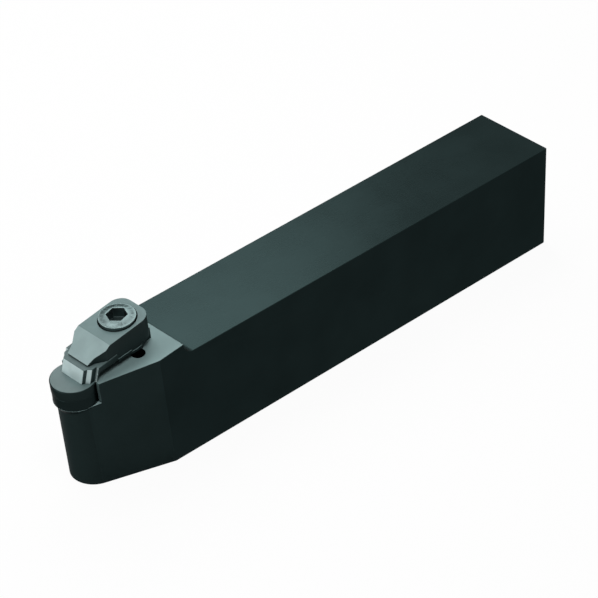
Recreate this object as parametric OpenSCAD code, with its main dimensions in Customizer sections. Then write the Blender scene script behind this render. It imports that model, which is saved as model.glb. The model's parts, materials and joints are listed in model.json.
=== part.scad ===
// Neutral turning tool holder for a round ceramic insert, with a top clamp and a loose chip breaker.
// X runs along the shank with the nose toward -X, Y = 0 is the middle plane, Z = 0 is the underside.
// The head is drawn in its own frame: u runs back along the sloping head plane from the tip of the
// insert, y runs across, and w stands square to the head plane, with w = 0 on that plane.

/* [Shank] */
// Height of the shank, which is also the height of the cutting tip
shank_h = 32; // [28:1:45]
// Width of the shank
shank_w = 25; // [20:1:32]
// Length from the tip of the insert to the end of the shank
overall_l = 170; // [120:5:250]
// Chamfer round the end face of the shank
end_chamfer = 0.5; // [0.2:0.1:1.5]

/* [Head] */
// Slope of the head plane, which tips the insert forward
head_tilt = 6; // [4:0.5:8]
// Length of the head plane, from the tip of the insert to the step behind the clamp
head_l = 33; // [31.5:0.5:40]
// Angle of each flat beside the nose, measured from the middle plane
nose_taper = 18.2; // [14:0.1:22]
// How far the nose is wider than the insert in radius
nose_swell = 0.25; // [0.2:0.01:0.35]
// How far the flats are ground below the line that would just touch the round of the nose
flat_cut = 0.02; // [0.01:0.01:0.1]
// How far the front of the nose lies behind the tip of the insert
nose_setback = 1.2; // [0.8:0.1:1.5]
// Height of the conical ledge under the seat of the insert
ledge_h = 2.1; // [1.5:0.1:4]
// Distance from the middle of the insert back to the front faces of the pocket
pocket_setback = 2.25; // [1.5:0.05:3]
// Play round the insert in its pocket
pocket_play = 0.1; // [0.05:0.01:0.15]
// Diameter of the blind hole beside the clamp
side_hole_d = 3.3; // [2.5:0.1:3.5]
// Depth of the blind hole beside the clamp
side_hole_depth = 5; // [3:0.5:8]
// Chamfer round the mouth of the blind hole
side_hole_chamfer = 0.2; // [0.1:0.05:0.4]
// Distance of the blind hole from the middle plane
side_hole_y = 6; // [5.8:0.1:6.5]
// Distance of the blind hole behind the clamp screw
side_hole_back = 0.35; // [0:0.05:1.5]

/* [Insert and shim] */
// Diameter of the round insert
insert_d = 12.7; // [12.4:0.05:12.9]
// Thickness of the insert
insert_t = 3.18; // [2.5:0.01:4.76]
// Width of the chamfered land round both edges of the insert
insert_land = 0.2; // [0.1:0.05:0.3]
// Thickness of the shim
shim_t = 3.18; // [2.5:0.01:4.76]
// How far the insert stands out over the shim all round
shim_inset = 0.1; // [0.05:0.01:0.25]
// Thread diameter of the shim screw
shim_thread_d = 3.5; // [3:0.5:4]
// Head diameter of the shim screw
shim_head_d = 6.2; // [5.5:0.1:7.5]
// Length of the shim screw with its head
shim_screw_l = 9; // [7:0.5:14]
// Distance across the flats of the shim screw's socket
shim_socket_af = 2; // [1.5:0.1:2.5]
// How far the shim screw's head lies under the top of the shim
shim_screw_sunk = 0.3; // [0.1:0.05:0.5]
// Depth of the threaded hole past the end of the shim screw
shim_hole_spare = 1.5; // [1:0.5:3]

/* [Chip breaker] */
// Distance from the tip of the insert to the front edge of the chip breaker
breaker_front = 5.65; // [5:0.05:6.2]
// Thickness of the chip breaker
breaker_t = 3.8; // [3.2:0.1:4.5]
// Angle at which its front faces lean back
breaker_lean = 19.5; // [15:0.5:25]
// Width of its front face
front_face_w = 6.9; // [6:0.1:7.5]
// Width over the grooves at the ends of the front face
groove_w = 9.1; // [8.6:0.1:9.6]
// How far the outer ends of the grooves lie behind the front edge
groove_back = 0.9; // [0.6:0.05:1.2]
// Width of the tongue that stands on the insert
tongue_w = 10.9; // [10.4:0.1:11.5]
// How far the sides of the tongue start behind the front edge
facet_back = 1.65; // [1.4:0.05:1.9]
// How far the shoulders lie behind the front edge
shoulder_back = 3; // [2.6:0.1:3.5]
// Width over the shoulders
breaker_w = 12.7; // [12.3:0.1:14]
// Length from the front edge to the back face
breaker_l = 10.85; // [10:0.05:11]
// Slope of its top face, which rises to the back
breaker_rise = 2.6; // [1:0.1:4]
// Height of the relief under the plate behind its front lip
relief_h = 2.4; // [1.6:0.1:2.6]
// Thickness of the lip behind the shoulders where it stands on the insert
lip_land = 0.15; // [0.1:0.05:0.4]
// Angle at which the back of the lip leans
lip_lean = 30; // [25:1:40]

/* [Clamp] */
// Width of the clamp
clamp_w = 12.2; // [12:0.1:14]
// Width of its tip
tip_w = 7.6; // [6:0.1:8]
// Width of the neck behind the tip
neck_w = 8.6; // [8.2:0.1:9.5]
// Length from the tip to the neck
neck_l = 2.1; // [1.5:0.1:2.6]
// Length from the tip to the place where the full width starts
shoulder_l = 4.8; // [4.2:0.1:6]
// Length from the tip to the bend in the top
bend_l = 6.3; // [5.5:0.1:7]
// Height of the tip's front edge over the chip breaker
tip_t = 0.62; // [0.4:0.02:0.9]
// How far the foot of the tip lies behind its front edge
tip_undercut = 0.5; // [0.2:0.1:0.8]
// Distance from the top front edge of the chip breaker to the tip of the clamp
tip_back = 1.5; // [1:0.1:2]
// Slope of the finger over the head plane
finger_slope = 32; // [30:0.5:34]
// Slope of the flat top over the head plane
top_slope = 3.4; // [2:0.1:4]
// Length from the tip to the back of the clamp
clamp_l = 21; // [21:0.1:22.5]
// Radius of the two corners at the back
rear_corner_r = 3.75; // [1.5:0.25:4]
// Height of the clamp's underside over the head plane
clamp_gap = 2.4; // [2:0.1:2.8]
// Length of the heel at the back
heel_l = 2.3; // [1.5:0.1:2.4]
// Width of the heel
heel_w = 8; // [6:0.5:10]
// Length of the flange along the lower edges of the clamp, as wide as the chip breaker
flange_l = 4.6; // [3:0.1:5]
// Thickness of the flange
flange_t = 0.7; // [0.4:0.1:1]
// How far the flange stands above the clamp's underside
flange_up = 0.2; // [0.1:0.05:0.3]
// Diameter of the round boss under the clamp
boss_d = 12.7; // [12.4:0.1:13]
// Depth of the boss under the flange
boss_t = 0.7; // [0.4:0.1:0.9]
// Play between the back of the chip breaker and the clamp
breaker_play = 0.1; // [0.05:0.01:0.2]

/* [Clamp screw] */
// Distance from the tip of the insert back to the axis of the screw
screw_u = 22.85; // [22.7:0.05:22.9]
// Thread diameter of the screw
thread_d = 6; // [5:1:6]
// Diameter of the head
head_d = 10; // [9.5:0.1:10.2]
// Height of the cylindrical side of the head
head_h = 4; // [3.6:0.1:5]
// Height of the cone on top of the head
crown_h = 0.5; // [0.3:0.1:0.8]
// Distance across the flats of the socket
socket_af = 5; // [4:0.5:5]
// Turn of the socket from the line of the shank
socket_turn = 10; // [0:1:60]
// Depth of the socket
socket_depth = 3; // [2.5:0.1:3.2]
// Length of the screw under its head
screw_l = 20; // [14:1:25]
// Depth of the threaded hole past the end of the screw
screw_hole_spare = 3; // [2:0.5:5]
// Height of the screw's seat in the clamp over the head plane
seat_h = 5.6; // [5.4:0.1:6]
// Radial play round the threads
thread_play = 0.05; // [0.02:0.01:0.08]
// Radial play round the head and the shank in the clamp
screw_play = 0.25; // [0.15:0.05:0.35]

/* [Lifting spring] */
// Diameter of the spring's wire
wire_d = 0.6; // [0.5:0.05:0.7]
// Number of coils, of which the first and the last lie closed
coils = 4.5; // [4:0.5:5]
// Radial play between the screw and the spring
spring_play = 0.2; // [0.15:0.05:0.3]
// Thickness of the clamp between the spring and the screw head
seat_web = 1.2; // [1:0.1:1.6]

/* [Hidden] */
$fn = 96;
// Reach of a cut past the surface that it opens
past = 1;
insert_r = insert_d / 2;
floor_w = -insert_t - shim_t;
pocket_u = insert_r + pocket_setback;
nose_r = insert_r + nose_swell;
nose_u = nose_setback + nose_r;
step_x = -overall_l / 2 + head_l * cos(head_tilt);
step_r = head_l * sin(head_tilt);
// Depth that reaches from the head plane under the lowest corner of the shank
deep = overall_l * sin(head_tilt) + shank_h;
taper = tan(nose_taper);
breaker_back = breaker_front + breaker_l;
tip_u = breaker_front + breaker_t * tan(breaker_lean) + tip_back;
clamp_back = tip_u + clamp_l;
clamp_foot = breaker_back + breaker_play;
// Height of the chip breaker's top at its back, and where the foot of the clamp's tip stands on it
top_u = breaker_front + breaker_t * tan(breaker_lean);
breaker_back_w = breaker_t + (breaker_back - top_u) * tan(breaker_rise);
tip_foot_w = breaker_t + (tip_back + tip_undercut) * tan(breaker_rise);
flange_w = clamp_gap + flange_up;
bend_w = breaker_t + tip_t + bend_l * tan(finger_slope);
clamp_back_w = bend_w + (clamp_l - bend_l) * tan(top_slope);
seat_d = head_d + 2 * screw_play;
spring_id = thread_d + 2 * spring_play;
spring_od = spring_id + 2 * wire_d;
spring_h = seat_h - seat_web;
drill_point = 0.3;

body_color = [0.10, 0.13, 0.13];
clamp_color = [0.22, 0.26, 0.26];
ceramic_color = [0.34, 0.40, 0.40];
carbide_color = [0.42, 0.48, 0.48];
screw_color = [0.24, 0.28, 0.28];

// Places children in the frame of the head
module on_head() {
    translate([-overall_l / 2, 0, shank_h]) rotate([0, -head_tilt, 0]) children();
}

// Stands a side view up and gives it a width across the middle plane
module across(width) {
    translate([0, width / 2, 0]) rotate([90, 0, 0]) linear_extrude(width) children();
}

// Blind hole drilled down from its mouth, with the cone that the drill leaves
module drilled(d, depth) {
    translate([0, 0, -depth]) cylinder(d = d, h = depth + past);
    translate([0, 0, -depth - drill_point * d]) cylinder(d1 = 0, d2 = d, h = drill_point * d);
}

// Hexagon socket cut down from its mouth
module socket(af, depth) {
    translate([0, 0, -depth]) cylinder(d = af / cos(30), h = depth + past, $fn = 6);
}

// Side view of the shank and the raised head, with the quarter round behind the head
module body_side() {
    front = overall_l / 2 + nose_r;
    difference() {
        union() {
            translate([-front, 0]) square([front + overall_l / 2, shank_h]);
            translate([-front, 0]) square([front + step_x, shank_h + step_r + past]);
            translate([step_x, shank_h]) difference() {
                square(step_r);
                translate([step_r, step_r]) circle(r = step_r);
            }
        }
        translate([-overall_l / 2, shank_h]) rotate(head_tilt)
            translate([-2 * nose_r, 0]) square([head_l + 4 * nose_r, deep]);
    }
}

// Plan of the body along w: two flats that leave the round of the nose and run out into the sides
module body_plan() {
    reach = nose_r - flat_cut;
    foot = [nose_u - reach * sin(nose_taper), reach * cos(nose_taper)];
    flat_l = shank_w / taper;
    far = 2 * overall_l;
    polygon([
        [foot[0], -foot[1]],
        [foot[0] + flat_l, -foot[1] - flat_l * taper],
        [far, -foot[1] - flat_l * taper],
        [far, foot[1] + flat_l * taper],
        [foot[0] + flat_l, foot[1] + flat_l * taper],
        [foot[0], foot[1]]
    ]);
}

// Solid that trims the front: flats, round nose and the cone that carries the seat of the insert
module nose_envelope() {
    translate([0, 0, -deep]) linear_extrude(2 * deep) body_plan();
    translate([nose_u, 0, -deep]) cylinder(r = nose_r, h = 2 * deep);
    translate([insert_r, 0, floor_w - ledge_h])
        cylinder(r1 = insert_r - nose_setback, r2 = insert_r, h = ledge_h);
}

// Pocket for the insert and its shim, open to the front, with a round wall behind them
module insert_pocket() {
    translate([-past, -shank_w, floor_w]) cube([pocket_u + past, 2 * shank_w, deep]);
    translate([insert_r, 0, floor_w]) cylinder(r = insert_r + pocket_play, h = deep);
}

// Wedges that chamfer the four edges of the shank's end face
module end_chamfers() {
    for (side = [-1, 1]) {
        translate([overall_l / 2, side * shank_w / 2, 0])
            rotate(45) cube([2 * end_chamfer * sin(45), 2 * end_chamfer * sin(45), 3 * shank_h], center = true);
        translate([overall_l / 2, 0, shank_h / 2 + side * shank_h / 2])
            rotate([0, 45, 0])
            cube([2 * end_chamfer * sin(45), 2 * shank_w, 2 * end_chamfer * sin(45)], center = true);
    }
}

module holder_body() {
    shim_hole = shim_screw_l + shim_screw_sunk - shim_t + shim_hole_spare;
    color(body_color) difference() {
        intersection() {
            across(shank_w) body_side();
            on_head() nose_envelope();
        }
        on_head() {
            insert_pocket();
            translate([insert_r, 0, floor_w]) drilled(shim_thread_d + 2 * thread_play, shim_hole);
            translate([screw_u, 0, 0]) drilled(thread_d + 2 * thread_play, screw_l - seat_h + screw_hole_spare);
            translate([screw_u + side_hole_back, -side_hole_y, 0]) {
                drilled(side_hole_d, side_hole_depth);
                translate([0, 0, -side_hole_chamfer])
                    cylinder(d1 = side_hole_d, d2 = side_hole_d + 4 * side_hole_chamfer, h = 2 * side_hole_chamfer);
            }
        }
        end_chamfers();
    }
}

module shim() {
    through_d = shim_thread_d + 4 * thread_play;
    sink_d = shim_head_d + 2 * thread_play;
    sink_h = (sink_d - through_d) / 2;
    color(carbide_color) on_head() translate([insert_r, 0, floor_w]) difference() {
        cylinder(r = insert_r - shim_inset, h = shim_t);
        translate([0, 0, -past]) cylinder(d = through_d, h = shim_t + 2 * past);
        translate([0, 0, shim_t - shim_screw_sunk - sink_h])
            cylinder(d1 = through_d, d2 = sink_d, h = sink_h);
        translate([0, 0, shim_t - shim_screw_sunk]) cylinder(d = sink_d, h = shim_screw_sunk + past);
    }
}

module shim_screw() {
    cone_h = (shim_head_d - shim_thread_d) / 2;
    color(screw_color) on_head() translate([insert_r, 0, floor_w + shim_t - shim_screw_sunk])
        difference() {
            union() {
                translate([0, 0, -cone_h]) cylinder(d1 = shim_thread_d, d2 = shim_head_d, h = cone_h);
                translate([0, 0, -shim_screw_l]) cylinder(d = shim_thread_d, h = shim_screw_l - cone_h);
            }
            socket(shim_socket_af, cone_h);
        }
}

module insert() {
    color(ceramic_color) on_head() translate([insert_r, 0, -insert_t]) rotate_extrude() polygon([
        [0, 0],
        [insert_r - insert_land, 0],
        [insert_r, insert_land],
        [insert_r, insert_t - insert_land],
        [insert_r - insert_land, insert_t],
        [0, insert_t]
    ]);
}

// Plan of the chip breaker where it stands on the insert, front edge at u = 0
module breaker_plan() {
    half = [
        [0, front_face_w / 2],
        [groove_back, groove_w / 2],
        [facet_back, tongue_w / 2],
        [shoulder_back, tongue_w / 2],
        [shoulder_back, breaker_w / 2],
        [2 * breaker_l, breaker_w / 2]
    ];
    last = len(half) - 1;
    right = [for (p = half) [p[0], -p[1]]];
    left = [for (i = [last:-1:0]) half[i]];
    polygon(concat(right, left));
}

// Side view of the chip breaker: front lip, relieved underside and a top that rises to the back
module breaker_side() {
    lip_foot = shoulder_back + lip_land;
    front_u = -past;
    rise = tan(breaker_rise);
    polygon([
        [front_u, 0],
        [lip_foot, 0],
        [lip_foot + relief_h * tan(lip_lean), relief_h],
        [breaker_l, relief_h],
        [breaker_l, breaker_back_w],
        [front_u, breaker_back_w - (breaker_l - front_u) * rise]
    ]);
}

// The front faces all lean back at one angle, so the plan is pushed up along that slant and
// cut with the side view
module chip_breaker() {
    color(carbide_color) on_head() translate([breaker_front, 0, 0]) intersection() {
        across(2 * breaker_w) breaker_side();
        rotate([0, breaker_lean, 0]) translate([0, 0, -breaker_l]) linear_extrude(4 * breaker_l)
            scale([cos(breaker_lean), 1]) breaker_plan();
    }
}

// Side view of the clamp: undercut tip, sloping finger, nearly flat top and heel
module clamp_side() {
    polygon([
        [tip_u + tip_undercut, tip_foot_w],
        [tip_u, breaker_t + tip_t],
        [tip_u + bend_l, bend_w],
        [clamp_back, clamp_back_w],
        [clamp_back, clamp_gap],
        [clamp_foot, clamp_gap],
        [clamp_foot, breaker_back_w + breaker_play * tan(breaker_rise)]
    ]);
}

// Plan of the clamp: tip, neck, shoulders and rounded corners at the back
module clamp_plan() {
    half = [
        [tip_u - past, tip_w / 2],
        [tip_u, tip_w / 2],
        [tip_u + neck_l, neck_w / 2],
        [tip_u + shoulder_l, clamp_w / 2],
        [clamp_back - rear_corner_r, clamp_w / 2]
    ];
    last = len(half) - 1;
    right = [for (p = half) [p[0], -p[1]]];
    left = [for (i = [last:-1:0]) half[i]];
    polygon(concat(right, left));
    corner_y = clamp_w / 2 - rear_corner_r;
    translate([clamp_back - 2 * rear_corner_r, -corner_y]) square([2 * rear_corner_r, 2 * corner_y]);
    for (side = [-1, 1]) {
        translate([clamp_back - rear_corner_r, side * corner_y]) circle(r = rear_corner_r);
    }
}

module clamp() {
    color(clamp_color) on_head() difference() {
        union() {
            intersection() {
                across(2 * clamp_w) clamp_side();
                linear_extrude(2 * clamp_back_w) clamp_plan();
            }
            translate([clamp_foot, -breaker_w / 2, flange_w - flange_t]) cube([flange_l, breaker_w, flange_t]);
            translate([screw_u, 0, flange_w - flange_t - boss_t]) cylinder(d = boss_d, h = boss_t);
            translate([screw_u, 0, flange_w - flange_t]) cylinder(d = clamp_w, h = flange_t);
            translate([clamp_back - heel_l, -heel_w / 2, 0]) cube([heel_l, heel_w, clamp_gap + past]);
        }
        translate([screw_u, 0, 0]) {
            translate([0, 0, -past]) cylinder(d = thread_d + 2 * screw_play, h = seat_h + 2 * past);
            translate([0, 0, seat_h]) cylinder(d = seat_d, h = clamp_back_w);
            translate([0, 0, -past]) cylinder(d = spring_od + 2 * spring_play, h = spring_h + past);
        }
    }
}

module clamp_screw() {
    crown_d = socket_af / cos(30) + crown_h;
    rim = crown_h / 2;
    color(screw_color) on_head() translate([screw_u, 0, seat_h]) difference() {
        union() {
            cylinder(d = head_d, h = head_h);
            translate([0, 0, head_h]) cylinder(d1 = head_d - 2 * rim, d2 = crown_d, h = crown_h);
            translate([0, 0, -screw_l]) cylinder(d = thread_d, h = screw_l);
        }
        translate([0, 0, head_h + crown_h]) rotate(socket_turn) socket(socket_af, socket_depth);
    }
}

// Height of the wire's centre after t coils: closed first and last coils, open ones between
function coil_w(t) =
    let (rise = spring_h - wire_d, open = (rise - 2 * wire_d) / (coils - 2))
    t < 1 ? t * wire_d : t > coils - 1 ? rise - (coils - t) * wire_d : wire_d + (t - 1) * open;

module lifting_spring() {
    per_coil = 24;
    around = 8;
    steps = coils * per_coil;
    mean_r = (spring_id + wire_d) / 2;
    wire_r = wire_d / 2;
    points = [
        for (i = [0:steps], j = [0:around - 1])
        let (turn = 360 * i / per_coil, ring = 360 * j / around, r = mean_r + wire_r * cos(ring))
        [r * cos(turn), r * sin(turn), wire_r + coil_w(i / per_coil) + wire_r * sin(ring)]
    ];
    sides = [
        for (i = [0:steps - 1], j = [0:around - 1])
        let (a = i * around, b = a + around, k = (j + 1) % around)
        [a + j, b + j, b + k, a + k]
    ];
    start = [for (j = [0:around - 1]) j];
    end = [for (j = [around - 1:-1:0]) steps * around + j];
    color(screw_color) on_head() translate([screw_u, 0, 0])
        polyhedron(points, concat(sides, [start], [end]));
}

holder_body();
shim();
shim_screw();
insert();
chip_breaker();
clamp();
clamp_screw();
lifting_spring();
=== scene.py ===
import json
import logging
import math
from collections.abc import Callable
from dataclasses import dataclass, replace
from enum import Enum

import bmesh
import bpy
from mathutils import Matrix, Vector


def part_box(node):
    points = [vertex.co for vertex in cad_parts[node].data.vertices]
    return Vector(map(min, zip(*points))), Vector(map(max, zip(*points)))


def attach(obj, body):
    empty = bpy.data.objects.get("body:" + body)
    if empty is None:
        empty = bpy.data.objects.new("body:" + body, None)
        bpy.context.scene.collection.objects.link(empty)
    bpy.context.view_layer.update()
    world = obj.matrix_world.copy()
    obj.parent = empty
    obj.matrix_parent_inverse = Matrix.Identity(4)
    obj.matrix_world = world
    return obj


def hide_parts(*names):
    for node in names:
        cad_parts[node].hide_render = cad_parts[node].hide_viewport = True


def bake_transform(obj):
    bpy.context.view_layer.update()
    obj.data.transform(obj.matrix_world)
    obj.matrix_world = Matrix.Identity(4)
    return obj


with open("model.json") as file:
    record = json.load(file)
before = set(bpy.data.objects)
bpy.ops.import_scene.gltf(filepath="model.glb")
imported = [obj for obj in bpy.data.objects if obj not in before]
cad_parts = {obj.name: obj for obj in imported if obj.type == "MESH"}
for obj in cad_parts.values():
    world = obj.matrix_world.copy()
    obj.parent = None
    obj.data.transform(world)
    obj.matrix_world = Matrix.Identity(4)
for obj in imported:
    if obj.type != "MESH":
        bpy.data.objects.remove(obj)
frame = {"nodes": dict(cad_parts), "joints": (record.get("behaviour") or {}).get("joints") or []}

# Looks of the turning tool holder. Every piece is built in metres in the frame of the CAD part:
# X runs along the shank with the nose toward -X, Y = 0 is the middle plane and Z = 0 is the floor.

log = logging.getLogger("tool_holder")

Tone = tuple[float, float, float]
FaceTest = Callable[[bpy.types.MeshPolygon], bool]

MM = 0.001
UP = Vector((0.0, 0.0, 1.0))
ACROSS = Vector((0.0, 1.0, 0.0))
SHARP_EDGES = "bevel_weight_edge"
MERGE_DISTANCE = 0.002 * MM
FLAT_ANGLE = math.radians(0.3)
SHARP_ANGLE = math.radians(24)


class Body(Enum):
    """Bodies of the CAD part that the pieces ride on."""

    HOLDER = "holder"
    CLAMP = "clamp"
    SCREW = "screw"


class Lay(Enum):
    """Direction of the fine marks of the last machining step, as what stretches their pattern."""

    ALONG_SHANK = (0.035, 1.0, 1.0)
    ACROSS = (1.0, 0.05, 1.0)
    EVEN = (1.0, 1.0, 1.0)


@dataclass(frozen=True)
class Finish:
    """A metal or ceramic surface with tone drift, fine grain, machining marks and worn edges.

    Lengths are in metres, colours are linear and the two tones are the darkest and the lightest
    that the drift reaches. Grazing is how white a metal turns where it is seen at a low angle, and
    gloss is the strength of the mirror layer over what isn't metal.
    """

    name: str
    slot: str
    dark: Tone
    light: Tone
    metallic: float
    roughness: float
    roughness_drift: float
    drift_size: float
    grain_size: float
    grain_height: float
    lay: Lay
    lay_size: float
    lay_height: float
    grazing: float = 1.0
    gloss: float = 0.5
    edge_gain: float = 1.3

    def material(self) -> bpy.types.Material:
        """Makes the procedural material, or returns the one that was made before."""
        return self._made(self.name, 1.0)

    def worn(self) -> bpy.types.Material:
        """Makes the material of edges that handling has polished a little."""
        return self._made(self.name + "_edge", self.edge_gain)

    def _made(self, name: str, gain: float) -> bpy.types.Material:
        """Builds the node tree on Object coordinates.

        Args:
            name: Name of the material.
            gain: Factor on both tones.

        Returns:
            The material.
        """
        found = bpy.data.materials.get(name)
        if found:
            return found
        mat = bpy.data.materials.new(name)
        mat.use_nodes = True
        net = Net(mat.node_tree)
        shader = mat.node_tree.nodes["Principled BSDF"]
        shader.inputs["Metallic"].default_value = self.metallic
        shader.inputs["Specular Tint"].default_value = (self.grazing, self.grazing, self.grazing, 1.0)
        shader.inputs["Specular IOR Level"].default_value = self.gloss
        where = net.add("ShaderNodeTexCoord").outputs["Object"]
        drift = net.noise(where, self.drift_size, detail=3.0)
        grain = net.noise(where, self.grain_size, detail=2.0)
        marks = net.noise(net.stretched(where, self.lay.value), self.lay_size, detail=4.0)
        tone = net.mixed(drift, scaled(self.dark, gain), scaled(self.light, gain))
        net.link(tone, shader.inputs["Base Color"])
        low = self.roughness - self.roughness_drift
        high = self.roughness + self.roughness_drift
        rough = net.ranged(net.average(drift, marks), low, high)
        net.link(rough, shader.inputs["Roughness"])
        relief = net.bump(grain, self.grain_height)
        relief = net.bump(marks, self.lay_height, relief)
        net.link(relief, shader.inputs["Normal"])
        mat.diffuse_color = (*self.light, 1.0)
        return mat


def scaled(tone: Tone, gain: float) -> Tone:
    """Returns a tone times a factor, kept at most 1."""
    return tuple(min(1.0, c * gain) for c in tone)


@dataclass
class Net:
    """Short ways to add and join the nodes of one tree.

    Noise lies about 0.5: the drift's two tones are reached at the drift ends, and a value is
    spread over its range between the noise ends.
    """

    tree: bpy.types.NodeTree
    drift_ends: tuple[float, float] = (0.35, 0.65)
    noise_ends: tuple[float, float] = (0.3, 0.7)

    def add(self, kind: str, **settings: object) -> bpy.types.Node:
        """Adds a node.

        Args:
            kind: Type of the node.
            settings: Properties to set on it.

        Returns:
            The node.
        """
        node = self.tree.nodes.new(kind)
        for key, value in settings.items():
            setattr(node, key, value)
        return node

    def link(self, out: bpy.types.NodeSocket, into: bpy.types.NodeSocket) -> None:
        """Joins two sockets."""
        self.tree.links.new(out, into)

    def noise(self, where: bpy.types.NodeSocket, size: float, detail: float) -> bpy.types.NodeSocket:
        """Adds noise whose blotches have about the size given.

        Args:
            where: Coordinates.
            size: Size of a blotch in metres.
            detail: How many finer layers lie on it.

        Returns:
            The value, about 0.5 on average.
        """
        node = self.add("ShaderNodeTexNoise")
        node.inputs["Scale"].default_value = 1.0 / size
        node.inputs["Detail"].default_value = detail
        self.link(where, node.inputs["Vector"])
        return node.outputs["Fac"]

    def calc(
        self, operation: str, first: bpy.types.NodeSocket, second: bpy.types.NodeSocket | float
    ) -> bpy.types.NodeSocket:
        """Adds a sum.

        Args:
            operation: What to do with the two values.
            first: First value.
            second: Second value, or a fixed number.

        Returns:
            The result.
        """
        node = self.add("ShaderNodeMath", operation=operation)
        self.link(first, node.inputs[0])
        if isinstance(second, float):
            node.inputs[1].default_value = second
        else:
            self.link(second, node.inputs[1])
        return node.outputs[0]

    def stretched(
        self, where: bpy.types.NodeSocket, factors: tuple[float, float, float]
    ) -> bpy.types.NodeSocket:
        """Stretches coordinates, so that a pattern runs long where the factor is small.

        Args:
            where: Coordinates.
            factors: A factor for each axis.

        Returns:
            The stretched coordinates.
        """
        node = self.add("ShaderNodeMapping")
        node.inputs["Scale"].default_value = factors
        self.link(where, node.inputs["Vector"])
        return node.outputs["Vector"]

    def mixed(self, share: bpy.types.NodeSocket, dark: Tone, light: Tone) -> bpy.types.NodeSocket:
        """Mixes two colours by the drift.

        Args:
            share: Value of the drift.
            dark: Colour at its low end.
            light: Colour at its high end.

        Returns:
            The colour.
        """
        node = self.add("ShaderNodeValToRGB")
        for stop, position, tone in zip(node.color_ramp.elements, self.drift_ends, (dark, light)):
            stop.position = position
            stop.color = (*tone, 1.0)
        self.link(share, node.inputs["Fac"])
        return node.outputs["Color"]

    def average(self, a: bpy.types.NodeSocket, b: bpy.types.NodeSocket) -> bpy.types.NodeSocket:
        """Returns the mean of two values."""
        return self.calc("MULTIPLY", self.calc("ADD", a, b), 0.5)

    def ranged(self, value: bpy.types.NodeSocket, low: float, high: float) -> bpy.types.NodeSocket:
        """Spreads the middle of a noise value over a range.

        Args:
            value: The noise.
            low: Start of the range.
            high: End of the range.

        Returns:
            The spread value.
        """
        node = self.add("ShaderNodeMapRange")
        node.inputs["From Min"].default_value = self.noise_ends[0]
        node.inputs["From Max"].default_value = self.noise_ends[1]
        node.inputs["To Min"].default_value = low
        node.inputs["To Max"].default_value = high
        self.link(value, node.inputs["Value"])
        return node.outputs["Result"]

    def bump(
        self, height: bpy.types.NodeSocket, distance: float, under: bpy.types.NodeSocket | None = None
    ) -> bpy.types.NodeSocket:
        """Adds relief.

        Args:
            height: Value from 0 to 1.
            distance: Depth of the relief in metres.
            under: Normal of the relief that this one lies on.

        Returns:
            The bent normal.
        """
        node = self.add("ShaderNodeBump")
        node.inputs["Distance"].default_value = distance
        self.link(height, node.inputs["Height"])
        if under is not None:
            self.link(under, node.inputs["Normal"])
        return node.outputs["Normal"]


def tones(green: float, red_share: float, spread: float = 0.06) -> dict[str, Tone]:
    """Returns the two tones of a cool dark grey.

    Args:
        green: Level of green and blue.
        red_share: Level of red as a share of that.
        spread: How far the tones lie to both sides of the level, as a share.

    Returns:
        The fields dark and light of a finish.
    """
    low, high = green * (1 - spread), green * (1 + spread)
    return {"dark": (low * red_share, low, low), "light": (high * red_share, high, high)}


BLACK_OXIDE = Finish(
    name="black_oxide", slot="blackened_steel", **tones(0.0138, 0.58, 0.08),
    metallic=1.0, roughness=0.40, roughness_drift=0.03, grazing=0.5,
    drift_size=14 * MM, grain_size=0.12 * MM, grain_height=0.0012 * MM,
    lay=Lay.ALONG_SHANK, lay_size=0.25 * MM, lay_height=0.001 * MM, edge_gain=1.8,
)
# Painted light: a lighter copy of the blackened steel for the upward faces, toned to how the lamps
# light the top.
PAINTED_LIGHT_TOP = replace(BLACK_OXIDE, name="painted_light_top", **tones(0.026, 0.60), roughness=0.28)
# Painted shade: a matt copy of the blackened steel for the flats beside the nose, toned to how they
# look turned away from the light.
PAINTED_SHADE_FLAT = replace(
    BLACK_OXIDE, name="painted_shade_flat", **tones(0.031, 0.60), metallic=0.0, gloss=0.0, lay=Lay.EVEN
)
# Painted shade: a darker, partly metal copy for the round nose, toned to how it looks turned away from
# the light.
PAINTED_SHADE_NOSE = replace(PAINTED_SHADE_FLAT, name="painted_shade_nose", **tones(0.021, 0.60), metallic=0.35)
# Painted light: a light, nearly matt copy of the blackened steel for the head plane, toned to how the
# lamps light it.
PAINTED_LIGHT_HEAD = Finish(
    name="painted_light_head", slot="blackened_steel", **tones(0.34, 0.69),
    metallic=0.0, roughness=0.55, roughness_drift=0.04, gloss=0.06,
    drift_size=8 * MM, grain_size=0.10 * MM, grain_height=0.001 * MM,
    lay=Lay.ACROSS, lay_size=0.2 * MM, lay_height=0.001 * MM,
)
# Painted light: a lighter copy of the steel for the pocket's walls, which lifts the shade in the
# pocket.
PAINTED_LIGHT_POCKET_WALL = replace(PAINTED_LIGHT_HEAD, name="painted_light_pocket_wall", **tones(0.14, 0.64))
# Painted highlight: a light copy of the steel for the pocket's floor, where a bright ledge shows under
# the insert.
PAINTED_HIGHLIGHT_POCKET_FLOOR = replace(PAINTED_LIGHT_HEAD, name="painted_highlight_pocket_floor", **tones(0.50, 0.72))
CLAMP_SIDE = Finish(
    name="clamp_side", slot="clamp_steel", **tones(0.028, 0.58),
    metallic=0.0, roughness=0.45, roughness_drift=0.03, gloss=0.04,
    drift_size=5 * MM, grain_size=0.10 * MM, grain_height=0.0012 * MM,
    lay=Lay.ACROSS, lay_size=0.16 * MM, lay_height=0.001 * MM, edge_gain=1.8,
)
# Painted light: a lighter copy of the clamp's steel for its upward faces.
PAINTED_LIGHT_CLAMP_TOP = replace(CLAMP_SIDE, name="painted_light_clamp_top", **tones(0.225, 0.67), gloss=0.12)
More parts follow.
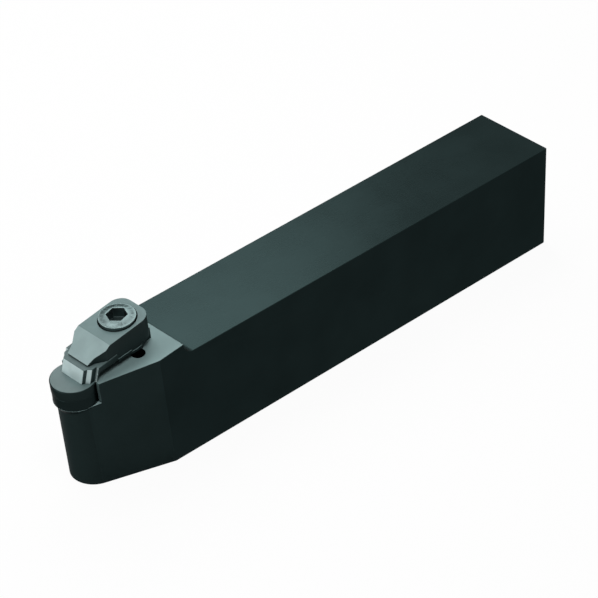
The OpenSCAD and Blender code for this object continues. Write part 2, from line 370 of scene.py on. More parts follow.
# Painted light: a still lighter copy of the clamp's steel for the sloping finger, which faces the
# light.
PAINTED_LIGHT_CLAMP_FINGER = replace(PAINTED_LIGHT_CLAMP_TOP, name="clamp_finger", **tones(0.37, 0.75), gloss=0.06)
OILED_SCREW = Finish(
    name="oiled_screw", slot="screw_steel", **tones(0.125, 0.74, 0.03),
    metallic=0.83, roughness=0.26, roughness_drift=0.005, grazing=0.0, gloss=0.1,
    drift_size=3 * MM, grain_size=0.08 * MM, grain_height=0.0006 * MM,
    lay=Lay.EVEN, lay_size=0.3 * MM, lay_height=0.0005 * MM,
)
# Painted light: a lighter, matt copy of the insert's ceramic for its top face; the dark copy below is
# the insert's own colour.
PAINTED_LIGHT_INSERT_TOP = Finish(
    name="painted_light_insert_top", slot="ceramic", **tones(0.158, 0.66),
    metallic=0.0, roughness=0.42, roughness_drift=0.03, gloss=0.22,
    drift_size=4 * MM, grain_size=0.06 * MM, grain_height=0.0008 * MM,
    lay=Lay.EVEN, lay_size=0.2 * MM, lay_height=0.0006 * MM,
)
DARK_CERAMIC = replace(
    PAINTED_LIGHT_INSERT_TOP, name="dark_ceramic", **tones(0.017, 0.62), metallic=1.0, grazing=0.5
)
# Painted light: a light copy of the plate's carbide for its leaning front faces; the dark copy below is
# the plate's own colour.
PAINTED_LIGHT_CARBIDE_FRONT = Finish(
    name="painted_light_carbide_front", slot="carbide", **tones(0.45, 0.80),
    metallic=0.88, roughness=0.40, roughness_drift=0.03, grazing=0.8,
    drift_size=3 * MM, grain_size=0.07 * MM, grain_height=0.0008 * MM,
    lay=Lay.ACROSS, lay_size=0.12 * MM, lay_height=0.0008 * MM,
)
DARK_CARBIDE = replace(
    PAINTED_LIGHT_CARBIDE_FRONT, name="dark_carbide", **tones(0.033, 0.64),
    metallic=1.0, grazing=0.5, lay=Lay.EVEN, edge_gain=2.0,
)
# Painted light: a lighter, matt copy of the plate's carbide for its top face.
PAINTED_LIGHT_CARBIDE_TOP = replace(
    DARK_CARBIDE, name="painted_light_carbide_top", **tones(0.16, 0.70), metallic=0.0, gloss=0.1
)
SHIM_CARBIDE = replace(DARK_CARBIDE, name="shim_carbide", **tones(0.0135, 0.60))
DRAWN_WIRE = Finish(
    name="drawn_wire", slot="spring_steel", **tones(0.36, 0.92, 0.12),
    metallic=1.0, roughness=0.32, roughness_drift=0.05, grazing=0.9,
    drift_size=1.5 * MM, grain_size=0.06 * MM, grain_height=0.0006 * MM,
    lay=Lay.EVEN, lay_size=0.1 * MM, lay_height=0.0006 * MM,
)


@dataclass(frozen=True)
class HeadFrame:
    """Frame of the sloping head: zero where the clamp screw's axis meets the head plane."""

    foot: Vector
    up: Vector

    @classmethod
    def of_joint(cls, joints: list[dict], name: str) -> "HeadFrame":
        """Reads the frame from the joint that turns about the clamp screw's axis."""
        joint = next(j for j in joints if j["name"] == name)
        return cls(Vector(joint["pos_m"]), Vector(joint["axis"]).normalized())

    def matrix(self, back: float = 0.0, height: float = 0.0) -> Matrix:
        """Places a piece that was drawn upright about its own zero.

        Args:
            back: Distance behind the screw's axis along the head plane.
            height: Height over the head plane.

        Returns:
            The placing matrix.
        """
        along = ACROSS.cross(self.up).normalized()
        place = Matrix((along, ACROSS, self.up)).transposed().to_4x4()
        place.translation = self.foot + along * back + self.up * height
        return place

    def inside(self, point: Vector) -> Vector:
        """Returns a point of the part's frame in the head's frame."""
        return self.matrix().inverted() @ point


def cad_copy(node: str, name: str) -> bpy.types.Object:
    """Copies a CAD node, merges its loose triangles and joins those that lie in one plane.

    Args:
        node: Name of the CAD node.
        name: Name of the new piece.

    Returns:
        The new object, at the origin with its place in its mesh.
    """
    mesh = frame["nodes"][node].data.copy()
    mesh.name = name
    mesh.materials.clear()
    bm = bmesh.new()
    bm.from_mesh(mesh)
    bmesh.ops.remove_doubles(bm, verts=bm.verts, dist=MERGE_DISTANCE)
    bmesh.ops.dissolve_limit(bm, angle_limit=FLAT_ANGLE, verts=bm.verts, edges=bm.edges)
    for face in bm.faces:
        face.smooth = True
    bm.to_mesh(mesh)
    bm.free()
    if mesh.attributes.get("custom_normal"):
        mesh.attributes.remove(mesh.attributes["custom_normal"])
    return linked(name, mesh)


def linked(name: str, data: bpy.types.ID) -> bpy.types.Object:
    """Makes an object and adds it to the scene.

    Args:
        name: Name of the object.
        data: Its mesh, light or camera.

    Returns:
        The object.
    """
    made = bpy.data.objects.new(name, data)
    bpy.context.scene.collection.objects.link(made)
    return made


def new_piece(name: str, bm: bmesh.types.BMesh, place: Matrix) -> bpy.types.Object:
    """Turns a drawn mesh into a piece that stands in its place.

    Args:
        name: Name of the piece.
        bm: The drawn mesh, which is freed.
        place: Where it goes.

    Returns:
        The new object.
    """
    bmesh.ops.recalc_face_normals(bm, faces=bm.faces)
    for face in bm.faces:
        face.smooth = True
    mesh = bpy.data.meshes.new(name)
    bm.to_mesh(mesh)
    bm.free()
    mesh.transform(place)
    return linked(name, mesh)


def rounded(piece: bpy.types.Object, radius: float, segments: int) -> None:
    """Rounds the sharp edges of a piece with a live Bevel, with the worn finish on the rounds.

    Args:
        piece: The piece, with its worn finish in the second slot.
        radius: Radius of the rounds, times each edge's own weight where the edges have one.
        segments: Faces over a round.
    """
    bevel = piece.modifiers.new("rounds", "BEVEL")
    bevel.width = radius
    bevel.segments = segments
    bevel.limit_method = "WEIGHT" if SHARP_EDGES in piece.data.attributes else "ANGLE"
    bevel.angle_limit = SHARP_ANGLE
    bevel.miter_outer = "MITER_ARC"
    bevel.use_clamp_overlap = True
    bevel.harden_normals = True
    bevel.material = 1


def dressed(piece: bpy.types.Object, finish: Finish, body: Body, *nodes: str) -> None:
    """Gives a shaped piece its materials, its body and the CAD nodes that it stands for.

    Args:
        piece: The piece, which has no material yet.
        finish: Its finish, which goes into the first slot and, worn, into the second.
        body: The body that it rides on.
        nodes: CAD nodes that it replaces.
    """
    piece.data.materials.append(finish.material())
    piece.data.materials.append(finish.worn())
    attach(piece, body.value)
    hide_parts(*nodes)


def paint_light_and_shade(piece: bpy.types.Object, finish: Finish, chosen: FaceTest) -> None:
    """Gives another finish to some of a piece's faces.

    Args:
        piece: The dressed piece.
        finish: The finish of those faces.
        chosen: Says whether a face is one of them.
    """
    # Painted light and shade: the faces get a lit or shaded copy of the piece's finish.
    slot = len(piece.data.materials)
    piece.data.materials.append(finish.material())
    for face in piece.data.polygons:
        if chosen(face):
            face.material_index = slot


def faces_to(direction: Vector, within: float) -> FaceTest:
    """Returns the test of a face that looks along a direction, within an angle in degrees."""
    return lambda face: face.normal.angle(direction, math.pi) < math.radians(within)


def lathe(profile: list[tuple[float, float]], steps: int) -> bmesh.types.BMesh:
    """Turns a profile of (radius, height) points about the upright axis.

    Args:
        profile: Points from the bottom of the axis, up the outside, to the top.
        steps: Faces round the axis.

    Returns:
        The turned mesh. A point at radius 0 becomes one vertex.
    """
    bm = bmesh.new()
    turn = [2 * math.pi * k / steps for k in range(steps)]
    rings = []
    for radius, height in profile:
        spots = [(radius * math.cos(a), radius * math.sin(a), height) for a in turn]
        rings.append([bm.verts.new(spot) for spot in (spots if radius > 0 else spots[:1])])
    for low, high in zip(rings, rings[1:]):
        for k in range(steps):
            n = (k + 1) % steps
            corners = [low[k % len(low)], low[n % len(low)], high[n % len(high)], high[k % len(high)]]
            bm.faces.new(list(dict.fromkeys(corners)))
    return bm


@dataclass(frozen=True)
class Winding:
    """Geometry Nodes tree that winds a bar along a helix, such as spring wire or a screw thread.

    The first and the last turn rise by the end rise each, and the turns between them by the open
    rise all together.
    """

    radius: float
    turns: float
    bar: float
    sides: int
    end_rise: float
    open_rise: float
    steps: int

    def mesh(self, material: bpy.types.Material) -> bpy.types.Mesh:
        """Winds the bar about the upright axis, from height 0 up.

        Args:
            material: Material of the bar.

        Returns:
            The plain mesh that the tree makes.
        """
        tree = self._tree()
        host = linked("winding", bpy.data.meshes.new("winding"))
        winder = host.modifiers.new("winding", "NODES")
        winder.node_group = tree
        sizes = {
            "Radius": self.radius, "Turns": self.turns, "Bar": self.bar, "Sides": self.sides,
            "Steps": self.steps, "End Rise": self.end_rise, "Open Rise": self.open_rise,
            "First Turn": 1.0 / self.turns, "Last Turn": 1.0 - 1.0 / self.turns, "Material": material,
        }
        for item in tree.interface.items_tree:
            if item.in_out == "INPUT" and item.name in sizes:
                winder[item.identifier] = sizes[item.name]
        wound = host.evaluated_get(bpy.context.evaluated_depsgraph_get())
        mesh = bpy.data.meshes.new_from_object(wound)
        host.modifiers.remove(winder)
        bpy.data.objects.remove(host)
        return mesh

    def _tree(self) -> bpy.types.NodeTree:
        """Builds the tree once, with a named input for each size.

        Returns:
            The tree.
        """
        found = bpy.data.node_groups.get("winding")
        if found:
            return found
        tree = bpy.data.node_groups.new("winding", "GeometryNodeTree")
        tree.interface.new_socket("Geometry", in_out="INPUT", socket_type="NodeSocketGeometry")
        for name in ("Radius", "Turns", "Bar", "End Rise", "Open Rise", "First Turn", "Last Turn"):
            tree.interface.new_socket(name, in_out="INPUT", socket_type="NodeSocketFloat")
        for name in ("Sides", "Steps"):
            tree.interface.new_socket(name, in_out="INPUT", socket_type="NodeSocketInt")
        tree.interface.new_socket("Material", in_out="INPUT", socket_type="NodeSocketMaterial")
        tree.interface.new_socket("Geometry", in_out="OUTPUT", socket_type="NodeSocketGeometry")
        net = Net(tree)
        sizes = net.add("NodeGroupInput").outputs
        ring = net.add("GeometryNodeCurveSpiral")
        ring.inputs["Height"].default_value = 0.0
        net.link(sizes["Steps"], ring.inputs["Resolution"])
        net.link(sizes["Turns"], ring.inputs["Rotations"])
        net.link(sizes["Radius"], ring.inputs["Start Radius"])
        net.link(sizes["Radius"], ring.inputs["End Radius"])
        raised = net.add("GeometryNodeSetPosition")
        net.link(ring.outputs["Curve"], raised.inputs["Geometry"])
        net.link(self._height(net, sizes), raised.inputs["Offset"])
        upright = net.add("GeometryNodeSetCurveNormal", mode="Z_UP")
        net.link(raised.outputs["Geometry"], upright.inputs["Curve"])
        section = net.add("GeometryNodeCurvePrimitiveCircle")
        net.link(sizes["Sides"], section.inputs["Resolution"])
        net.link(sizes["Bar"], section.inputs["Radius"])
        swept = net.add("GeometryNodeCurveToMesh")
        swept.inputs["Fill Caps"].default_value = True
        net.link(upright.outputs["Curve"], swept.inputs["Curve"])
        net.link(section.outputs["Curve"], swept.inputs["Profile Curve"])
        real = net.add("GeometryNodeRealizeInstances")
        net.link(swept.outputs["Mesh"], real.inputs["Geometry"])
        dress = net.add("GeometryNodeSetMaterial")
        net.link(real.outputs["Geometry"], dress.inputs["Geometry"])
        net.link(sizes["Material"], dress.inputs["Material"])
        net.link(dress.outputs["Geometry"], net.add("NodeGroupOutput").inputs["Geometry"])
        return tree

    def _height(self, net: Net, sizes: bpy.types.NodeOutputs) -> bpy.types.NodeSocket:
        """Adds up the rise of the first turn, of the open turns and of the last turn.

        Args:
            net: The tree.
            sizes: The tree's named inputs.

        Returns:
            The offset of each point of the helix.
        """
        along = net.add("GeometryNodeSplineParameter").outputs["Factor"]
        spans = (
            (None, "First Turn", "End Rise"),
            ("First Turn", "Last Turn", "Open Rise"),
            ("Last Turn", None, "End Rise"),
        )
        height = None
        for start, end, rise in spans:
            part = net.add("ShaderNodeMapRange")
            net.link(along, part.inputs["Value"])
            if start:
                net.link(sizes[start], part.inputs["From Min"])
            if end:
                net.link(sizes[end], part.inputs["From Max"])
            net.link(sizes[rise], part.inputs["To Max"])
            result = part.outputs["Result"]
            height = net.calc("ADD", height, result) if height else result
        offset = net.add("ShaderNodeCombineXYZ")
        net.link(height, offset.inputs["Z"])
        return offset.outputs["Vector"]


@dataclass(frozen=True)
class HolderBody:
    """The steel body: shank, sloping head, round nose, pocket and drilled holes.

    The looks are limits on the parts of a face's normal. A face of the pocket looks to Y by more
    and to X by less than the pocket looks. The pocket's floor and the head plane look along the
    head's up by more than theirs. The flats and the nose look up or down by less than the upright
    look, and forward, which is toward -X, beyond theirs. Faces within an angle of Z get the painted
    light of the top. By these looks the faces get lit and shaded copies of the blackened steel,
    which paint light and shade.
    """

    node: str = "holder_body"
    shank_round: float = 0.25 * MM
    pocket_round: float = 0.12 * MM
    foot_round: float = 0.6 * MM
    foot_height: float = 0.1 * MM
    shank_start: float = 12 * MM
    lowest_pocket_edge: float = 20 * MM
    pocket_depth: float = 6.36 * MM
    pocket_end: float = -10.0 * MM
    margin: float = 0.2 * MM
    sharp: float = math.radians(20)
    pocket_look_x: float = 0.2
    pocket_look_y: float = -0.7
    floor_look: float = 0.9
    plane_look: float = 0.999
    upright_look: float = 0.5
    flat_look: float = -0.1
    nose_look: float = -0.4
    top_within: float = 60.0

    def build(self, head: HeadFrame) -> bpy.types.Object:
        """Builds and dresses the body.

        Args:
            head: Frame of the head.

        Returns:
            The piece.
        """
        piece = cad_copy(self.node, "body")
        self._weigh(piece.data, head)
        dressed(piece, BLACK_OXIDE, Body.HOLDER, self.node)
        chosen = {face.index: self._finish_at(face, head) for face in piece.data.polygons}
        # Painted light and shade: each face gets the lit or shaded copy of the steel that its look
        # chooses.
        for finish in (PAINTED_LIGHT_TOP, PAINTED_SHADE_FLAT, PAINTED_SHADE_NOSE, PAINTED_LIGHT_HEAD, PAINTED_LIGHT_POCKET_WALL, PAINTED_HIGHLIGHT_POCKET_FLOOR):
            paint_light_and_shade(piece, finish, lambda face: chosen[face.index] is finish)
        rounded(piece, self.foot_round, segments=3)
        return piece

    def _finish_at(self, face: bpy.types.MeshPolygon, head: HeadFrame) -> Finish:
        """Chooses the finish of a face by where it lies and where it looks.

        Args:
            face: A face of the body.
            head: Frame of the head.

        Returns:
            The finish.
        """
        # Painted light on the pocket, the head plane and the tops, painted shade on the flats and the
        # nose; other faces keep the steel's own colour.
        spot = head.inside(face.center)
        look = face.normal
        level = look.dot(head.up)
        if self._in_pocket(spot, look):
            return PAINTED_HIGHLIGHT_POCKET_FLOOR if level > self.floor_look else PAINTED_LIGHT_POCKET_WALL
        if level > self.plane_look and abs(spot.z) < self.margin:
            return PAINTED_LIGHT_HEAD
        upright = abs(look.z) < self.upright_look
        if face.center.x < head.foot.x and upright and look.x < self.flat_look:
            return PAINTED_SHADE_NOSE if look.x < self.nose_look else PAINTED_SHADE_FLAT
        return PAINTED_LIGHT_TOP if faces_to(UP, self.top_within)(face) else BLACK_OXIDE

    def _in_pocket(self, spot: Vector, look: Vector) -> bool:
        """Tells the floor and the walls of the pocket from the flats and the nose round it.

        Args:
            spot: Middle of a face in the head's frame.
            look: Its normal.

        Returns:
            Whether it is a face of the pocket.
        """
        sunk = -self.pocket_depth - self.margin < spot.z < -self.margin
        turned = look.y >= self.pocket_look_y and look.x < self.pocket_look_x
        return sunk and spot.x < self.pocket_end and turned

    def _weigh(self, mesh: bpy.types.Mesh, head: HeadFrame) -> None:
        """Writes the share of the largest round that each sharp edge gets.

        Args:
            mesh: Mesh of the body.
            head: Frame of the head.
        """
        bm = bmesh.new()
        bm.from_mesh(mesh)
        layer = bm.edges.layers.float.new(SHARP_EDGES)
        for edge in bm.edges:
            if len(edge.link_faces) == 2 and edge.calc_face_angle(0.0) > self.sharp:
                edge[layer] = self._round(edge, head) / self.foot_round
        bm.to_mesh(mesh)
        bm.free()

    def _round(self, edge: bmesh.types.BMEdge, head: HeadFrame) -> float:
        """Chooses the radius of one sharp edge by where it lies.

        Args:
            edge: The edge.
            head: Frame of the head.

        Returns:
            The radius, or 0 where the edge stays sharp.
        """
        mid = (edge.verts[0].co + edge.verts[1].co) / 2
        if mid.z < self.foot_height and mid.x < head.foot.x:
            return self.foot_round
        if mid.x > head.foot.x + self.shank_start:
            return self.shank_round
        if not edge.is_convex or mid.z < self.lowest_pocket_edge:
            return 0.0
        return self.pocket_round


@dataclass(frozen=True)
class Thread:
    """A screw thread that takes the place of a plain cylinder of the same radius.

    The ridge is half the width of the thread's section, and the tip gap is the plain length below it.
    Within the three last lengths, a vertex counts as one of the tip's face, as one of the shank's
    outside and as one no higher than the underside of the head.
    """

    radius: float
    pitch: float
    ridge: float
    length: float
    tip_gap: float
    sides: int = 4
    steps: int = 48
    margin: float = 0.1 * MM
    inner_share: float = 0.8
    tip_within: float = 0.05 * MM
    shank_within: float = 0.02 * MM
    level_within: float = 0.01 * MM

    def wind(self, piece: bpy.types.Object, head: HeadFrame, finish: Finish) -> None:
        """Turns the plain shank of a CAD screw down to its core and winds the thread on it.

        Args:
            piece: The copy of the screw, whose axis is parallel to the head's.
            head: Frame of the head.
            finish: Finish of the screw.
        """
        spots = [head.inside(v.co) for v in piece.data.vertices]
        low = min(s.z for s in spots)
        foot = [s for s in spots if s.z < low + self.tip_within]
        centre = sum(foot, Vector()) / len(foot)
        head_foot = min(s.z for s in spots if (s - centre).xy.length > self.radius + self.margin)
        self._turn_down(piece.data, spots, centre, head_foot, head.matrix())
        room = head_foot - low - self.tip_gap - 2 * self.ridge
        turns = min(self.length, room) / self.pitch
        ridge = Winding(
            radius=self.radius - self.ridge, turns=turns, bar=self.ridge, sides=self.sides,
            end_rise=self.pitch, open_rise=self.pitch * (turns - 2), steps=self.steps,
        )
        mesh = ridge.mesh(finish.material())
        start = Matrix.Translation((centre.x, centre.y, low + self.tip_gap + self.ridge))
        mesh.transform(head.matrix() @ start)
        self._join(piece.data, mesh)
        log.info("%s: thread of %.1f turns", piece.name, turns)

    def _turn_down(
        self, mesh: bpy.types.Mesh, spots: list[Vector], centre: Vector, head_foot: float, place: Matrix
    ) -> None:
        """Moves the shank's vertices in to the core radius.

        Args:
            mesh: Mesh of the screw.
            spots: Its vertices in the head's frame.
            centre: A point on its axis.
            head_foot: Height of the underside of its head.
            place: Placing matrix of the head's frame.
        """
        for vertex, spot in zip(mesh.vertices, spots):
            out = Vector((spot.x - centre.x, spot.y - centre.y, 0.0))
            on_shank = self.inner_share * self.radius < out.length < self.radius + self.shank_within
            if on_shank and spot.z < head_foot + self.level_within:
                vertex.co = place @ (spot - out * (self.ridge / out.length))

    def _join(self, mesh: bpy.types.Mesh, ridge: bpy.types.Mesh) -> None:
        """Adds the ridge to the screw, and marks the screw's own edges as the ones to round.

        Args:
            mesh: Mesh of the screw.
            ridge: Mesh of the ridge, in its place.
        """
        bm = bmesh.new()
        bm.from_mesh(mesh)
        layer = bm.edges.layers.float.new(SHARP_EDGES)
        for edge in bm.edges:
            if len(edge.link_faces) == 2 and edge.calc_face_angle(0.0) > SHARP_ANGLE:
                edge[layer] = 1.0
        bm.from_mesh(ridge)
        bm.to_mesh(mesh)
        bm.free()


@dataclass(frozen=True)
class RoundInsert:
    """The round ceramic insert with the ground land along its edges.

    A hone rounds each end of the land. Its run and its drop are the shares of it that lie along and
    across the face beside it.
    """

    node: str = "insert"
    land: float = 0.2 * MM
    hone: float = 0.03 * MM
    hone_run: float = 0.5
    hone_drop: float = 0.6
    flat_share: float = 0.9
    steps: int = 160
    sharp: float = math.radians(30)
    top_within: float = 5.0

    def build(self, head: HeadFrame) -> bpy.types.Object:
        """Turns the insert on the size and the place of its CAD node.

        Args:
            head: Frame of the head.

        Returns:
            The piece.
        """
        low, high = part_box(self.node)
        radius = (high.y - low.y) / 2
        corners = [head.inside(v.co) for v in frame["nodes"][self.node].data.vertices]
        bottom = min(c.z for c in corners)
        height = max(c.z for c in corners) - bottom
        middle = (min(c.x for c in corners) + max(c.x for c in corners)) / 2
        flat = self.flat_share * radius
        profile = [(0.0, 0.0), (flat, 0.0)]
        profile += self._edge(radius, 0.0, 1.0)
        profile += self._edge(radius, height, -1.0)[::-1]
        profile += [(flat, height), (0.0, height)]
        place = head.matrix(middle, bottom)
        piece = new_piece("insert_round", lathe(profile, self.steps), place)
        piece.data.set_sharp_from_angle(angle=self.sharp)
        dressed(piece, DARK_CERAMIC, Body.HOLDER, self.node)
        # Painted light: the top face gets the lighter copy of the ceramic.
        paint_light_and_shade(piece, PAINTED_LIGHT_INSERT_TOP, faces_to(head.up, self.top_within))
        return piece

    def _edge(self, radius: float, face: float, way: float) -> list[tuple[float, float]]:
        """Lists the points of a land between its two hones.

        Args:
            radius: Radius of the insert.
            face: Height of the flat face beside the land.
            way: 1 where the side lies above that face and -1 where it lies below.

        Returns:
            Points from the face to the side.
        """
        run, drop = self.hone_run * self.hone, self.hone_drop * self.hone
        return [
            (radius - self.land - self.hone, face),
            (radius - self.land + run, face + way * drop),
            (radius - drop, face + way * (self.land - run)),
            (radius, face + way * (self.land + self.hone)),
        ]


@dataclass(frozen=True)
class SeatShim:
    """The carbide shim under the insert, with its sunk screw."""

    shim_node: str = "shim"
    screw_node: str = "shim_screw"
    shim_round: float = 0.08 * MM
    screw_round: float = 0.06 * MM
    thread: Thread = Thread(
        radius=1.75 * MM, pitch=0.6 * MM, ridge=0.27 * MM, length=5.0 * MM, tip_gap=0.4 * MM
    )

    def build(self, head: HeadFrame) -> list[bpy.types.Object]:
        """Copies the shim and its screw, rounds their edges and winds the thread.

        Args:
            head: Frame of the head.

        Returns:
            The two pieces.
        """
        shim = cad_copy(self.shim_node, "shim_plate")
        dressed(shim, SHIM_CARBIDE, Body.HOLDER, self.shim_node)
        rounded(shim, self.shim_round, segments=2)
        screw = cad_copy(self.screw_node, "shim_fixing_screw")
        self.thread.wind(screw, head, OILED_SCREW)
        dressed(screw, OILED_SCREW, Body.HOLDER, self.screw_node)
        rounded(screw, self.screw_round, segments=2)
        return [shim, screw]


@dataclass(frozen=True)
class ChipBreaker:
    """The loose carbide plate with its leaning front faces.

    Front is where the front face meets the head plane, and lean is how far it leans back for its
    height. Corners lie beside the front face: their distance behind it and from the middle plane,
    in the CAD node and as they are stepped here.
    """

    node: str = "chip_breaker"
    edge_round: float = 0.07 * MM
    front: float = -17.2 * MM
    lean: float = math.tan(math.radians(19.5))
    corners: tuple[tuple[float, float], ...] = ((0.0, 3.45 * MM), (0.9 * MM, 4.55 * MM))
    stepped: tuple[tuple[float, float], ...] = ((0.0, 3.95 * MM), (0.85 * MM, 4.43 * MM))
    margin: float = 0.05 * MM
    front_look: tuple[float, float, float] = (-1.0, 0.0, 0.25)
    front_within: float = 40.0
    top_within: float = 12.0

    def build(self, head: HeadFrame) -> bpy.types.Object:
        """Copies the plate, steps its front corners and rounds its edges.

        Args:
            head: Frame of the head.

        Returns:
            The piece.
        """
        piece = cad_copy(self.node, "chip_breaker_plate")
        self._step(piece.data, head)
        dressed(piece, DARK_CARBIDE, Body.HOLDER, self.node)
        # Painted light: the front and the top faces get lighter copies of the carbide.
        paint_light_and_shade(piece, PAINTED_LIGHT_CARBIDE_FRONT, faces_to(Vector(self.front_look), self.front_within))
        paint_light_and_shade(piece, PAINTED_LIGHT_CARBIDE_TOP, faces_to(head.up, self.top_within))
        rounded(piece, self.edge_round, segments=2)
        return piece

    def _step(self, mesh: bpy.types.Mesh, head: HeadFrame) -> None:
        """Sinks the corner beside each end of the front face, which makes a narrow step there.

        Args:
            mesh: Mesh of the plate.
            head: Frame of the head.
        """
        place = head.matrix()
        moved = 0
        for vertex in mesh.vertices:
            spot = head.inside(vertex.co)
            back = spot.x - self.front - spot.z * self.lean
            for old, new in zip(self.corners, self.stepped):
                if max(abs(back - old[0]), abs(abs(spot.y) - old[1])) < self.margin:
                    side = math.copysign(new[1], spot.y)
                    vertex.co = place @ Vector((spot.x + new[0] - old[0], side, spot.z))
                    moved += 1
        log.info("%s: %d corners sunk", mesh.name, moved)


@dataclass(frozen=True)
class Clamp:
    """The top clamp with its sloping finger."""

    node: str = "clamp"
    edge_round: float = 0.12 * MM
    finger_look: tuple[float, float, float] = (-0.43, 0.0, 0.80)
    within: float = 14.0

    def build(self) -> bpy.types.Object:
        """Copies the clamp, dresses it and rounds its edges.

        Returns:
            The piece.
        """
        piece = cad_copy(self.node, "clamp_finger")
        dressed(piece, CLAMP_SIDE, Body.CLAMP, self.node)
        # Painted light: the finger and the top faces get lighter copies of the clamp's steel.
        paint_light_and_shade(piece, PAINTED_LIGHT_CLAMP_FINGER, faces_to(Vector(self.finger_look), self.within))
        paint_light_and_shade(piece, PAINTED_LIGHT_CLAMP_TOP, faces_to(UP, self.within))
        rounded(piece, self.edge_round, segments=2)
        return piece


@dataclass(frozen=True)
class ClampScrew:
    """The low-head screw with its hexagon socket and its thread."""

    node: str = "clamp_screw"
    edge_round: float = 0.1 * MM
    thread: Thread = Thread(
        radius=3.0 * MM, pitch=1.0 * MM, ridge=0.46 * MM, length=14.0 * MM, tip_gap=0.7 * MM
    )

    def build(self, head: HeadFrame) -> bpy.types.Object:
        """Copies the screw, winds its thread and rounds its edges.

        Args:
            head: Frame of the head.

        Returns:
            The piece.
        """
        piece = cad_copy(self.node, "clamp_fixing_screw")
        self.thread.wind(piece, head, OILED_SCREW)
        dressed(piece, OILED_SCREW, Body.SCREW, self.node)
        rounded(piece, self.edge_round, segments=2)
        return piece


@dataclass(frozen=True)
class LiftingSpring:
    """The small spring round the screw that lifts the clamp when the screw is let out.

    Wire is the wire's diameter and inside is the inner diameter of the coil.
    """

    node: str = "lifting_spring"
    wire: float = 0.6 * MM
    inside: float = 6.4 * MM
    height: float = 4.4 * MM
    turns: float = 4.5
    sides: int = 14
    steps: int = 64

    def build(self, head: HeadFrame) -> bpy.types.Object:
        """Winds the spring to its height and stands it on the head plane round the screw's axis.

        Args:
            head: Frame of the head.

        Returns:
            The piece.
        """
        coil = Winding(
            radius=(self.inside + self.wire) / 2, turns=self.turns, bar=self.wire / 2, sides=self.sides,
            end_rise=self.wire, open_rise=self.height - 3 * self.wire, steps=self.steps,
        )
        mesh = coil.mesh(DRAWN_WIRE.material())
        mesh.transform(head.matrix(0.0, self.wire / 2))
        for face in mesh.polygons:
            face.use_smooth = len(face.vertices) == 4
        piece = linked("lifting_spring_coil", mesh)
        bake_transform(piece)
        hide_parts(self.node)
        return piece


@dataclass(frozen=True)
class Lamp:
    """A soft area lamp that points at the head, in metres and watts.

    Toward is the direction in which it hangs, as seen from the head.
    """

    name: str
    toward: tuple[float, float, float]
    distance: float
    size: tuple[float, float]
    power: float

    def build(self, target: Vector) -> None:
        """Adds the lamp.

        Args:
            target: Point that it is aimed at.
        """
        light = bpy.data.lights.new(self.name, "AREA")
        light.shape = "RECTANGLE"
        light.size, light.size_y = self.size
        light.energy = self.power
        lamp = linked(self.name, light)
        lamp.location = target + Vector(self.toward).normalized() * self.distance
        lamp.rotation_euler = (target - lamp.location).to_track_quat("-Z", "Y").to_euler()


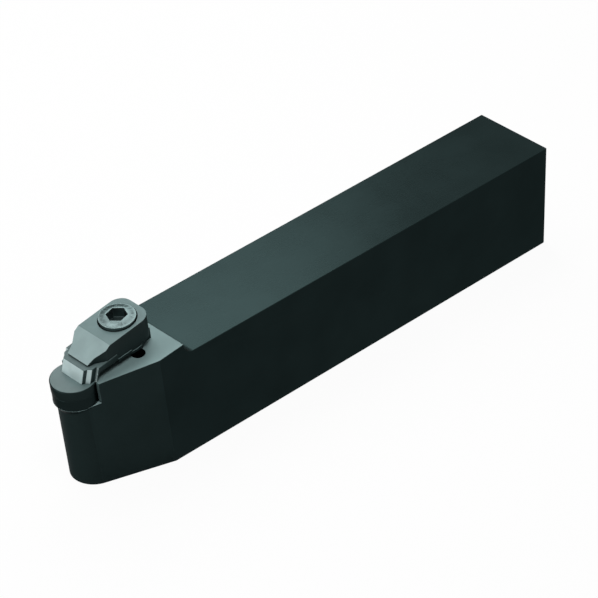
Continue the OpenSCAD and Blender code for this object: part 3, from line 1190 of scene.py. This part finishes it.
@dataclass(frozen=True)
class Studio:
    """Camera, pale floor, world and lamps.

    Focal length and sensor are in millimetres, as Blender has them. Floor glow is the share of
    plain white in what is seen of the floor, and ambient is the world's strength as a light.
    """

    camera_place: tuple[float, float, float] = (-0.50436, -0.53987, 0.54408)
    azimuth: float = math.radians(43.0723)
    elevation: float = math.radians(35.5055)
    roll: float = math.radians(-1.3395)
    focal: float = 202.485
    sensor: float = 36.0
    nearest: float = 10 * MM
    floor_half: float = 4.0
    floor_drop: float = 0.05 * MM
    floor_tone: Tone = (0.90, 0.90, 0.90)
    floor_glow: float = 0.95
    ambient: float = 0.07
    lamps: tuple[Lamp, ...] = (
        Lamp("lamp_back", (0.246, 0.676, 0.695), 0.60, (0.25, 0.25), 0.42),
        Lamp("lamp_back_close", (0.537, 0.576, 0.616), 0.36, (0.14, 0.14), 0.22),
        Lamp("lamp_right", (0.383, 0.321, 0.866), 0.50, (0.20, 0.20), 0.40),
        Lamp("lamp_up_left", (-0.105, 0.393, 0.914), 0.75, (0.30, 0.30), 1.18),
        Lamp("lamp_left_low", (-0.925, 0.337, 0.174), 0.75, (0.30, 0.20), 2.22),
        Lamp("lamp_front", (-0.117, -0.321, 0.940), 0.75, (0.30, 0.30), 2.25),
    )

    def build(self, target: Vector) -> None:
        """Adds everything round the object.

        Args:
            target: Point that the lamps are aimed at.
        """
        self._camera()
        self._floor()
        self._world()
        for lamp in self.lamps:
            lamp.build(target)
        settings = bpy.context.scene.view_settings
        settings.view_transform = "Standard"

    def _camera(self) -> None:
        """Adds the camera at the photograph's place, solved from the object's own edges."""
        data = bpy.data.cameras.new("camera")
        data.lens = self.focal
        data.sensor_width = self.sensor
        data.clip_start = self.nearest
        forward = Vector((
            math.sin(self.azimuth) * math.cos(self.elevation),
            math.cos(self.azimuth) * math.cos(self.elevation),
            -math.sin(self.elevation),
        ))
        level = Vector((math.cos(self.azimuth), -math.sin(self.azimuth), 0.0))
        over = level.cross(forward)
        right = level * math.cos(self.roll) + over * math.sin(self.roll)
        up = over * math.cos(self.roll) - level * math.sin(self.roll)
        place = Matrix((right, up, -forward)).transposed().to_4x4()
        place.translation = Vector(self.camera_place)
        camera = linked("camera", data)
        camera.matrix_world = place
        bpy.context.scene.camera = camera

    def _floor(self) -> None:
        """Adds the pale floor, which reads as white where it is seen and keeps a faint shadow."""
        bm = bmesh.new()
        half = self.floor_half
        corners = [(-half, -half), (half, -half), (half, half), (-half, half)]
        bm.faces.new([bm.verts.new((x, y, -self.floor_drop)) for x, y in corners])
        mesh = bpy.data.meshes.new("floor")
        bm.to_mesh(mesh)
        bm.free()
        floor = linked("floor", mesh)
        mat = bpy.data.materials.new("pale_floor")
        mat.use_nodes = True
        net = Net(mat.node_tree)
        mat.node_tree.nodes.clear()
        pale = net.add("ShaderNodeBsdfDiffuse")
        pale.inputs["Color"].default_value = (*self.floor_tone, 1.0)
        glow = net.add("ShaderNodeEmission")
        mix = net.add("ShaderNodeMixShader")
        net.link(net.calc("MULTIPLY", self._seen(net), self.floor_glow), mix.inputs["Fac"])
        net.link(pale.outputs[0], mix.inputs[1])
        net.link(glow.outputs[0], mix.inputs[2])
        net.link(mix.outputs[0], net.add("ShaderNodeOutputMaterial").inputs["Surface"])
        mesh.materials.append(mat)

    def _world(self) -> None:
        """Makes a world that is white where it is seen or mirrored and dim as a light."""
        world = bpy.data.worlds.new("studio")
        world.use_nodes = True
        bpy.context.scene.world = world
        net = Net(world.node_tree)
        world.node_tree.nodes.clear()
        back = net.add("ShaderNodeBackground")
        back.inputs["Color"].default_value = (1.0, 1.0, 1.0, 1.0)
        extra = net.calc("MULTIPLY", self._seen(net), 1.0 - self.ambient)
        net.link(net.calc("ADD", extra, self.ambient), back.inputs["Strength"])
        net.link(back.outputs[0], net.add("ShaderNodeOutputWorld").inputs["Surface"])

    def _seen(self, net: Net) -> bpy.types.NodeSocket:
        """Tells the rays that see or mirror something from those that light it.

        Args:
            net: Tree to add to.

        Returns:
            1 for camera, glossy and transmission rays and 0 for the others.
        """
        path = net.add("ShaderNodeLightPath").outputs
        seen = net.calc("MAXIMUM", path["Is Camera Ray"], path["Is Glossy Ray"])
        return net.calc("MAXIMUM", seen, path["Is Transmission Ray"])


def main() -> None:
    """Builds the scene, piece by piece."""
    logging.basicConfig(level=logging.INFO, format="%(name)s: %(message)s")
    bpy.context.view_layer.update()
    head = HeadFrame.of_joint(frame["joints"], "screw_turn")
    Studio().build(head.foot)
    pieces = [
        HolderBody().build(head),
        RoundInsert().build(head),
        *SeatShim().build(head),
        ChipBreaker().build(head),
        Clamp().build(),
        ClampScrew().build(head),
        LiftingSpring().build(head),
    ]
    for piece in pieces:
        mesh = piece.data
        log.info("%s: %d faces, %d finishes", piece.name, len(mesh.polygons), len(mesh.materials))


if __name__ == "__main__":
    main()
